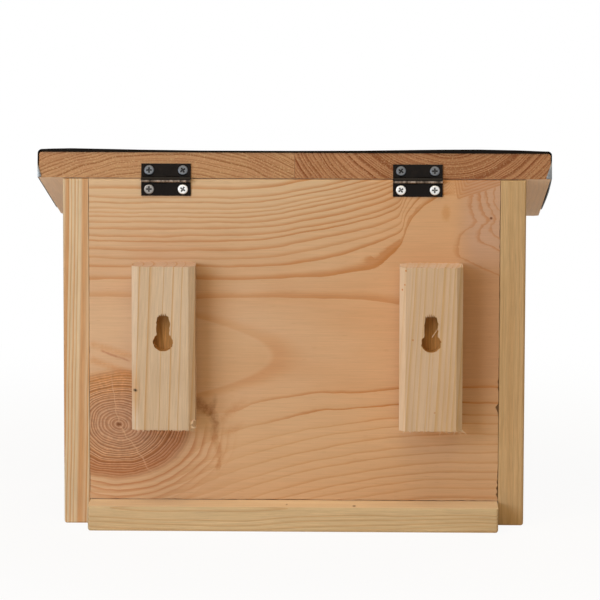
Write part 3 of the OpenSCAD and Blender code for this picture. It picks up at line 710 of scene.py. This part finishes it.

# %% [markdown]
# # Metal and the pane
# The hinges are pressed steel under black lacquer: dark, smooth enough to mirror the white room faintly, with
# a tan line along each barrel that is a painted reflection. The screws are zinc plated and bright on top, with
# painted shade in the cross; those in the roof get a darker copy of the plating, painted shade for the darker
# reflection they show. The pane is cast acrylic, clear with a greenish edge, and the sheet on the roof is steel
# with a satin coat. Each gets its colour, its gloss and the fine unevenness of its own making.

# %% Lacquer, plating, coat and acrylic
def finish(name, colour, metallic, roughness, gloss=0.5, grit_mm=1, uneven=0.08, dark=None, deep_mm=1.5, painted_sheen_axis=None,
           beyond=None, **more):
    material, add = new_material(name)
    place = add("TexCoord")
    grit = add("TexNoise", {"Vector": place.outputs["Object"], "Scale": 1000 / grit_mm, "Detail": 3})
    rough = add("MapRange", [grit, 0.3, 0.7, roughness - uneven, roughness + uneven])
    tone = add("MapRange", [grit, 0.3, 0.7, 0.92, 1.08])
    shown = add("VectorMath", {0: linear(colour)[:3], "Scale": tone}, "SCALE")
    axes = add("SeparateXYZ", [place.outputs["Object"]])
    if beyond:
        past = add("Math", [axes.outputs["X"], beyond], "GREATER_THAN")
        shown = add("Mix", {0: past, 6: shown, 7: "#8a8580"}, **rgba)
    # painted shade: the plating darkens where ambient occlusion finds a recess, such as the cross in a screw head
    if dark:
        painted_recess_shade = add("AmbientOcclusion", {"Distance": deep_mm / 1000}, samples=8)
        painted_recess_shade = add("MapRange", [painted_recess_shade.outputs["AO"], 0.6, 0.9, 1, 0])
        shown = add("Mix", {0: painted_recess_shade, 6: shown, 7: dark}, **rgba)
    # painted reflection: a tan, partly metallic line along each hinge barrel, standing for the wood it mirrors
    if painted_sheen_axis:
        off_axis = add("VectorMath", [place.outputs["Object"], (0, *painted_sheen_axis)], "SUBTRACT")
        off_axis = add("VectorMath", [off_axis, (0, 1, 1)], "MULTIPLY")
        off_axis = add("VectorMath", [off_axis], "LENGTH")
        painted_sheen_band = add("Math", [axes.outputs["Z"], painted_sheen_axis[1] - 0.0008], "SUBTRACT")
        painted_sheen_band = add("Math", [painted_sheen_band], "ABSOLUTE")
        patchy = add("TexNoise", {"W": axes.outputs["X"], "Scale": 260, "Detail": 2}, noise_dimensions="1D")
        metallic = overlap(add, (painted_sheen_band, 0.0009, 0.0003, 0, 1, even), (patchy, 0.35, 0.6, 0.15, 0.9, even),
                           (off_axis, 0.0023, 0.002, 0, 1, even))
        shown = add("Mix", {0: metallic, 6: shown, 7: "#b7a698"}, **rgba)
    bump = add("Bump", {"Strength": 0.12, "Distance": 0.0002, "Height": grit})
    surface = add("BsdfPrincipled", {"Base Color": shown, "Metallic": metallic, "Roughness": rough,
                                     "Specular IOR Level": gloss, "Normal": bump, **more})
    add("OutputMaterial", {"Surface": surface})
    return material


black_lacquer = finish("black_lacquered_steel", "#120b07", 0, 0.16, 0.12, grit_mm=3, painted_sheen_axis=(0.0999, 0.2113))
bright_zinc = finish("bright_zinc_plate", "#dedcd8", 1, 0.4, dark="#2a2623")
# a darker copy of the same plating for the roof screws: painted shade for their darker reflection
painted_shade_zinc = finish("painted_shade_zinc_plate", "#5e6166", 1, 0.42, dark="#15120f")
coated_steel = finish("satin_coated_steel_sheet", "#0a0605", 0, 0.4, 0.06, grit_mm=2.5)
bare_steel = finish("bare_folded_steel", "#797b7c", 1, 0.3, grit_mm=2)
acrylic = finish("cast_clear_acrylic", "#eef6f3", 0, 0.05, grit_mm=6, uneven=0.03, IOR=1.49,
                 **{"Transmission Weight": 1})
for name in nodes:
    if "roof_screws" in name:
        finish_node(name, painted_shade_zinc)
    elif name == "right_hinge_box_screws":
        # beyond X 77.5 mm the plating turns darker grey: painted shade on that screw
        finish_node(name, finish("half_painted_shade_zinc_plate", "#dedcd8", 1, 0.4, dark="#2a2623", beyond=0.0775))
    elif "screws" in name:
        finish_node(name, bright_zinc)
    elif "hinge" in name:
        finish_node(name, black_lacquer)
    elif name == "roof_nails":
        finish_node(name, coated_steel)
    elif name == "front_pane":
        finish_node(name, acrylic)
print("lacquer and plating on", sum("steel" in m.name or "zinc" in m.name for m in bpy.data.materials), "finishes")

# %% [markdown]
# # The hanger blocks
# Each block is an offcut of planed batten with a keyhole. The cutter tore the fibres at the slot's end, and
# the saw left splinters on the block's ends. A keyhole could be cut from clean circles, but the torn outline
# is what the eye sees, so it is drawn point by point: a filled circle is bent to it, extruded, and taken away
# with a boolean.

# %% A block with eased edges and rough ends
from mathutils import Matrix, Vector

eased, end_rim, ragged = 0.0037, 0.0007, 0.0005


def sawn_block(name, low, high, chance):
    bpy.ops.mesh.primitive_cube_add(size=1, location=(low + high) / 2)
    block = bpy.context.object
    block.name = name
    block.scale = high - low
    bpy.ops.object.transform_apply(location=True, rotation=False, scale=True)
    choose_edges(block, lambda a, b: abs(a.z - b.z) > 0.05)
    bpy.ops.mesh.bevel(offset=eased, segments=1, affect="EDGES")
    choose_edges(block, lambda a, b: abs(a.z - b.z) < 1e-5 and (a - b).length > 0.01)
    bpy.ops.mesh.subdivide(number_cuts=30)
    bpy.ops.mesh.select_mode(type="FACE")
    bpy.ops.mesh.select_all(action="DESELECT")
    bpy.ops.object.mode_set(mode="OBJECT")
    for face in block.data.polygons:
        face.select = abs(face.normal.z) > 0.9
    bpy.ops.object.mode_set(mode="EDIT")
    bpy.ops.mesh.inset(thickness=end_rim, use_boundary=True)
    bpy.ops.object.mode_set(mode="OBJECT")
    caps = {number for face in block.data.polygons if face.select for number in face.vertices}
    for number, point in enumerate(block.data.vertices):
        if number not in caps:
            point.co.z += ragged * (chance.random() - 0.5)
    return block


print("edges eased by", 1000 * eased, "mm")


# %% A torn keyhole
def keyhole_outline(half, hole, rise, crown, square, tear, chance):
    points = []
    teeth = 6
    wide = 2 * half / teeth
    for tooth in range(teeth):
        start = half - wide * tooth
        middle = start - 0.5 * wide
        arc = [rise + crown * max(0, 1 - abs(x / half) ** square) ** (1 / square) for x in (start, middle)]
        high = tear * (0.35 + 0.65 * chance.random()) * (0.4 if tooth in (0, teeth - 1) else 1)
        points.append((start, arc[0]))
        points.append((start - 0.35 * wide + 0.2 * high, arc[1] + high))
        points.append((start - 0.7 * wide + 0.1 * high, arc[1] + 0.3 * high))
    points.append((-half, rise))
    meet = math.sqrt(hole * hole - half * half)
    for step in range(1, 8):
        points.append((-half - 0.25 * tear * chance.random(), rise + (meet - rise) * step / 8))
    first, last = math.atan2(meet, -half), math.atan2(meet, half) + 2 * math.pi
    for step in range(41):
        angle = first + (last - first) * step / 40
        reach = hole + 0.3 * tear * chance.random() * abs(math.cos(angle))
        points.append((reach * math.cos(angle), reach * math.sin(angle)))
    for step in range(1, 8):
        points.append((half + 0.25 * tear * chance.random(), meet + (rise - meet) * step / 8))
    return points


def cut_from_plate(outline, near, far):
    bpy.ops.mesh.primitive_circle_add(vertices=len(outline), fill_type="NGON")
    piece = bpy.context.object
    for point, (x, z) in zip(piece.data.vertices, outline):
        point.co = (x, near, z)
    bpy.ops.object.mode_set(mode="EDIT")
    bpy.ops.mesh.select_all(action="SELECT")
    pull(0, far - near, 0)
    face_outwards()
    return piece


def cut_keyhole(block, outline, centre, near, far, inside):
    cutter = cut_from_plate([(centre.x + x / 1000, centre.z + z / 1000) for x, z in outline], near, far)
    cutter.data.materials.append(inside)
    pick(block)
    cut = block.modifiers.new("keyhole", "BOOLEAN")
    cut.operation, cut.solver, cut.object, cut.material_mode = "DIFFERENCE", "EXACT", cutter, "TRANSFER"
    bpy.ops.object.modifier_apply(modifier=cut.name)
    bpy.data.objects.remove(cutter)


# in millimetres: half the slot's width, the radius of the round entry, the way up the slot, and the height of its end
slot_half, entry, slot_rise, slot_end = 3.75, 5.5, 13, 2.7
torn_by, cut_clean, full_round = 2.5, 0.1, 2
print("entry of", 2 * entry, "mm, slot of", 2 * slot_half, "mm")

# %% [markdown]
# # Splinters
# A splinter is a sliver of wood that thins to a point and bends on its way. One is drawn by extruding a small
# five-sided face three times, smaller each time, and its copies are turned, stretched and joined to the
# block.

# %% One splinter, many copies
bpy.ops.mesh.primitive_circle_add(vertices=5, radius=0.5, fill_type="NGON", location=(0, 0, 0))
sliver = bpy.context.object
sliver.name = "sliver"
bpy.ops.object.mode_set(mode="EDIT")
bpy.ops.mesh.select_all(action="SELECT")
reached = Vector((0, 0, 0))
for bend, rise, shrink in ((0.1, 0.35, 0.8), (0.35, 0.35, 0.6), (0.7, 0.3, 0.12)):
    pull(bend, 0, rise)
    reached += Vector((bend, 0, rise))
    bpy.ops.transform.resize(value=(shrink, shrink, shrink), center_override=reached)
face_outwards()
print("sliver of", len(sliver.data.polygons), "faces")


def add_splinters(block, places):
    bpy.ops.object.select_all(action="DESELECT")
    for number, (start, way, width) in enumerate(places):
        copy = bpy.data.objects.new("splinter", sliver.data.copy())
        bpy.context.scene.collection.objects.link(copy)
        turn = Vector(way).to_track_quat("Z", "X" if number % 2 else "Y").to_matrix().to_4x4()
        size = Matrix.Diagonal((width / 1000, width / 1000, Vector(way).length / 1000, 1))
        copy.data.transform(Matrix.Translation(start) @ turn @ size)
        copy.data.materials.append(block.data.materials[0])
        copy.select_set(True)
    block.select_set(True)
    bpy.context.view_layer.objects.active = block
    bpy.ops.object.join()


# %% Both blocks
torn_inside = sawn_pine("torn_pine_in_the_keyholes", "#cb9c61", "#bb894c", "#936330", upright, (-40, 30, 0), 1.6,
                        0.35, late_mm=0.9, fibre=0.25)
# on both blocks the ends are lighter and bluer, partly painted light on their tops, and the eased arrises are
# lighter: a painted highlight
block_pines = {
    "right": sawn_pine(
        "planed_pine_block_right", "#d4bfa7", "#ceb69a", "#be8c4a", (0, 2.1, 0), (-138, -112, 0), 6.9, 0.75,
        late_mm=1.3, fibre=0.13, wander=3, ends=(1.12, 1.05, 1.2), painted_arris_highlight=(1.15, 1.17, 1.22),
        flaws=(((95, 0, 86), (4, 0, 18), 0.3, 0.5, "#b98a55"), ((95, 0, 86), (1.7, 0, 1.2), 0.6, 0.95, "#1f130c"))),
    "left": sawn_pine(
        "planed_pine_block_left", "#d8bfa6", "#d1b598", "#cda876", (0, 2.9, 0), (-150, -90, 0), 3.4, 0.78,
        late_mm=2.1, fibre=0.08, wander=4, ends=(1.22, 1.3, 1.6), painted_arris_highlight=(1.15, 1.18, 1.22), resin=0.8)}
keyhole_up, lip, depth = 0.0535, 0.005, 0.009
squareness = {"left": 5, "right": 3}
for side, chance in (("left", random.Random(5)), ("right", random.Random(11))):
    low, high = (Vector(c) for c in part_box(side + "_hanger_block"))
    block = sawn_block("torn_" + side + "_hanger_block", low, high, chance)
    block.data.materials.append(block_pines[side])
    centre = Vector(((low.x + high.x) / 2, high.y, low.z + keyhole_up))
    outline = keyhole_outline(slot_half, entry, slot_rise, slot_end, squareness[side], torn_by, chance)
    cut_keyhole(block, outline, centre, high.y + 0.001, high.y - lip, torn_inside)
    outline = keyhole_outline(entry, entry, slot_rise, entry, full_round, cut_clean, chance)
    cut_keyhole(block, outline, centre, high.y - lip + 0.0001, high.y - depth, torn_inside)
    places = []
    # along the lower and the upper end: how many, how far from the corners, the face and the end, and how they stand
    rows = ((22, 0.002, 0.0005, low.z + 0.0004, 0.3, -0.7, -1.2, 0.6, 0.6),
            (16, 0.003, 0.0008, high.z - 0.0003, -0.2, 0.6, 0.5, 0.5, 0.4))
    for count, margin, behind, foot, outwards, least, longer, thin, thicker in rows:
        for _ in range(count):
            spot = Vector((low.x + margin + (high.x - low.x - 2 * margin) * chance.random(), high.y - behind, foot))
            way = (0.8 * (chance.random() - 0.5), outwards, least + longer * chance.random())
            places.append((spot, way, thin + thicker * chance.random()))
    if side == "left":
        for step in range(9):
            spot = Vector((low.x + 0.0004 + 0.0006 * step, high.y - 0.003, low.z + 0.0006))
            places.append((spot, (-3.4 + 0.8 * step, 0.4, -3.2 + 0.5 * (step % 3)), 1))
        places.append((Vector((low.x + 0.013, high.y - 0.001, low.z + 0.0005)), (0.3, 0.2, -3.2), 0.5))
        places.append((Vector((low.x + 0.0015, high.y - 0.004, high.z - 0.0005)), (-0.8, 0.2, 3.2), 0.8))
        places.append((centre + Vector((-0.0006, -0.002, 0.0035)), (-5, 0.6, 7), 0.55))
        for step in range(26):
            spot = Vector((low.x + 0.0006, high.y - 0.0036, low.z + 0.004 + 0.0036 * step))
            places.append((spot, (-0.7 - 0.6 * chance.random(), 0.3, 1.2 * (chance.random() - 0.5)), 0.4))
    else:
        for number, way in enumerate(((-1.8, 0.8, 1.8), (-2.3, 0.8, 0.7), (-1.7, 0.8, -0.8), (-2.3, 0.8, -1.7),
                                      (-0.8, 0.6, -2.1))):
            spot = Vector((low.x + 0.0022, high.y - 0.002, low.z + 0.0042 - 0.0009 * number))
            places.append((spot, way, 2.4))
    add_splinters(block, places)
    bpy.ops.object.shade_smooth_by_angle(angle=math.radians(20))
    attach(block, "box")
    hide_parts(side + "_hanger_block")
    print(block.name, len(block.data.polygons), "faces,", len(places), "splinters")
bpy.data.objects.remove(sliver)

# %% [markdown]
# # The sheet on the roof
# The cover is thin coated steel, folded down over three edges by hand. Its back edge isn't flat: it stands
# off the boards in two waves, which makes the dark line along the roof thick near the ends and thin in the
# middle. A flat grid gives enough points for the waves; its rim is extruded down for the flanges, the folds
# are bevelled, and the metal gets its thickness last.

# %% Pan, folds and flanges
lean, roof_y, roof_z = math.radians(13.5), 0.09723, 0.21214
# half the width, the length down the slope, the height over the boards' underside and the metal's thickness
half, front, top, metal = 0.15495, 0.17545, 0.01595, 0.0007
shoulder, fold_round = 0.003, 0.0021
bpy.ops.mesh.primitive_grid_add(x_subdivisions=96, y_subdivisions=40, size=1, location=(0, -front / 2, top))
sheet = bpy.context.object
sheet.name = "folded_roof_sheet"
sheet.scale = (2 * half, front, 1)
bpy.ops.object.transform_apply(location=True, rotation=False, scale=True)


def on_rim(a, b):
    sides = at(abs(a.x), half) and at(abs(b.x), half) and a.x * b.x > 0
    return sides or (at(a.y, -front) and at(b.y, -front))


choose_edges(sheet, on_rim)
pull(0, 0, -shoulder)
choose_edges(sheet, lambda a, b: on_rim(a, b) and at(a.z, top) and at(b.z, top))
bpy.ops.mesh.bevel(offset=fold_round, segments=4, affect="EDGES")
# the flanges stop short of the front corners, where the metal is notched
side_end, front_end = -(front - 0.027), half - 0.010


def below_fold(a, b):
    if not (on_rim(a, b) and at(a.z, top - shoulder) and at(b.z, top - shoulder)):
        return False
    if at(abs(a.x), half) and at(abs(b.x), half):
        return min(a.y, b.y) > side_end
    return max(abs(a.x), abs(b.x)) < front_end


choose_edges(sheet, below_fold)
pull(0, 0, shoulder - top + metal / 2)
print("pan with flanges,", len(sheet.data.polygons), "faces")

# %% Back edge, tabs and waves
back, turned_down = 0.0006, 0.0003
choose_edges(sheet, lambda a, b: at(a.y, 0) and at(b.y, 0))
pull(0, back, 0)
choose_edges(sheet, lambda a, b: at(a.y, back) and at(b.y, back) and at(a.z, top) and at(b.z, top))
pull(0, 0, -turned_down)


def between(points, x):
    for (x0, y0), (x1, y1) in zip(points, points[1:]):
        if x <= x1:
            return y0 + (y1 - y0) * max(0, x - x0) / (x1 - x0)
    return points[-1][1]


# thickness of the dark line along the back edge, in millimetres, from one end of the roof to the other
line = [(-155, 1.3), (-148, 1.5), (-135, 2), (-111, 2.4), (-87, 2.2), (-63, 1.8), (-40, 1.4), (0, 1.15), (57, 1.1),
        (75, 1.3), (93, 1.5), (110, 1.8), (135, 2.2), (148, 1.9), (155, 1.5)]
waves, bulge, bulge_length = 0.07, 0.0008, 0.148
bpy.ops.object.mode_set(mode="OBJECT")
for point in sheet.data.vertices:
    x, y, z = point.co
    if z > top - fold_round - 0.0001 and not (at(z, top - turned_down) and at(y, back)):
        near = max(0, min(1, 1 + y / waves))
        point.co.z += (between(line, 1000 * x) / 1000 - metal) * near * near
    elif x < -half + 1e-4 and y < 0 and z < top - 0.002:
        point.co.x -= bulge * math.sin(math.pi * min(1, -y / bulge_length)) * (1 - z / top)
sheet.data.materials.append(coated_steel)
print("back edge lifted by up to", round(max(v.co.z for v in sheet.data.vertices) - top, 4), "m")

# %% Thickness and place
pick(sheet)
thick = sheet.modifiers.new("metal", "SOLIDIFY")
thick.thickness, thick.offset = metal, 0
bpy.ops.object.modifier_apply(modifier=thick.name)
for way, width, height in ((1, 0.0022, 0.0085), (-1, 0.0032, 0.0112)):
    corners = ((half - width, 0.0004), (half + metal / 2, 0), (half + metal / 2, height))
    tab = cut_from_plate([(way * x, z) for x, z in corners], 0.0001, 0.0001 + metal)
    bpy.ops.object.mode_set(mode="EDIT")
    bpy.ops.mesh.bevel(offset=0.00015, segments=2, affect="EDGES")
    bpy.ops.object.mode_set(mode="OBJECT")
    tab.data.materials.append(bare_steel)
    sheet.select_set(True)
    bpy.context.view_layer.objects.active = sheet
    bpy.ops.object.join()
face_outwards()
sheet.rotation_euler = (lean, 0, 0)
sheet.location = (0, roof_y, roof_z)
bpy.ops.object.transform_apply(location=True, rotation=True, scale=True)
bpy.ops.object.shade_smooth_by_angle(angle=math.radians(30))
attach(sheet, "roof")
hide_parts("roof_sheet")
print(sheet.name, len(sheet.data.polygons), "faces, box", [round(v, 4) for v in sheet.dimensions])
